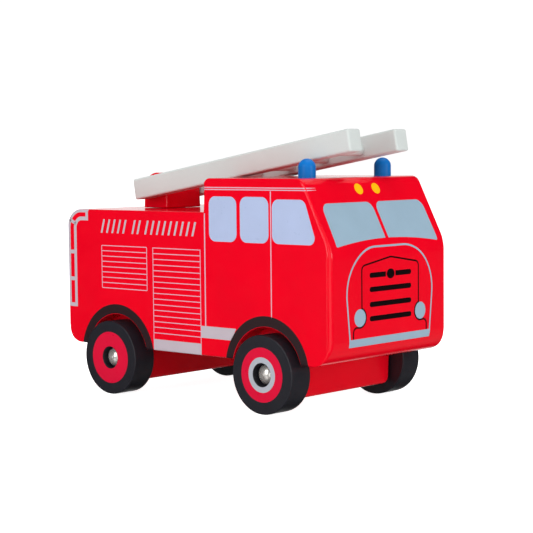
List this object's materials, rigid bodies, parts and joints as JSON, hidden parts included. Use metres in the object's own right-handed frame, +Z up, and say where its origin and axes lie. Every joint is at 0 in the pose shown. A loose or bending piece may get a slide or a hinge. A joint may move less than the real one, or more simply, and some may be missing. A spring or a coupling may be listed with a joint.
{
  "type": "toy fire engine",
  "caption": "Wooden toy fire engine with free-running wheels, roof lights and a ladder that turns on a turret and pitches up.",
  "frame": {"origin": "on the ground under the middle of the body", "axes": "+X forwards, out of the windscreen; +Y to the vehicle's left; +Z up"},
  "size_m": [0.2224, 0.12, 0.1641],
  "materials": {
    "red_paint": "gloss",
    "black_paint": "satin",
    "grey_paint": "satin",
    "blue_paint": "gloss",
    "steel": "satin",
    "nickel": "polished",
    "nylon": "matte",
    "silver_ink": "satin",
    "grey_blue_ink": "satin",
    "window_ink": "gloss",
    "black_ink": "satin",
    "crimson_ink": "gloss",
    "yellow_ink": "gloss"
  },
  "bodies": {
    "vehicle": {"left_cheek": "red_paint", "right_cheek": "red_paint", "core_left_board": "red_paint", "core_centre_board": "red_paint", "core_right_board": "red_paint", "front_axle_block": "red_paint", "rear_axle_block": "red_paint", "front_block_screws": "steel", "rear_block_screws": "steel", "front_axle": "steel", "rear_axle": "steel", "axle_washers": "steel", "front_left_cap": "nickel", "front_right_cap": "nickel", "rear_left_cap": "nickel", "rear_right_cap": "nickel", "turret_washer": "nylon", "turret_screw": "steel", "turret_screw_washer": "steel", "left_light": "blue_paint", "right_light": "blue_paint"},
    "front_left_wheel": {"front_left_wheel": "black_paint"},
    "front_right_wheel": {"front_right_wheel": "black_paint"},
    "rear_left_wheel": {"rear_left_wheel": "black_paint"},
    "rear_right_wheel": {"rear_right_wheel": "black_paint"},
    "turret": {"turret_post": "red_paint"},
    "ladder": {"ladder_pivot": "grey_paint", "left_rail": "grey_paint", "right_rail": "grey_paint", "rung_1": "grey_paint", "rung_2": "grey_paint", "rung_3": "grey_paint", "rung_4": "grey_paint", "rung_5": "grey_paint"}
  },
  "joints": [
    {"name": "front_left_wheel_spin", "type": "hinge", "parent": "vehicle", "child": "front_left_wheel", "pos_m": [0.0637, 0.0519, 0.0231], "axis": [0, 1, 0], "continuous": true},
    {"name": "front_right_wheel_spin", "type": "hinge", "parent": "vehicle", "child": "front_right_wheel", "pos_m": [0.0637, -0.0519, 0.0231], "axis": [0, 1, 0], "continuous": true},
    {"name": "rear_left_wheel_spin", "type": "hinge", "parent": "vehicle", "child": "rear_left_wheel", "pos_m": [-0.0654, 0.0519, 0.0231], "axis": [0, 1, 0], "continuous": true},
    {"name": "rear_right_wheel_spin", "type": "hinge", "parent": "vehicle", "child": "rear_right_wheel", "pos_m": [-0.0654, -0.0519, 0.0231], "axis": [0, 1, 0], "continuous": true},
    {"name": "turret_turn", "type": "hinge", "parent": "vehicle", "child": "turret", "pos_m": [-0.06865, 0, 0.1158], "axis": [0, 0, 1], "continuous": true},
    {"name": "ladder_raise", "type": "hinge", "parent": "turret", "child": "ladder", "pos_m": [-0.06865, 0, 0.1279], "axis": [0, -1, 0], "range_deg": [0, 80]}
  ]
}
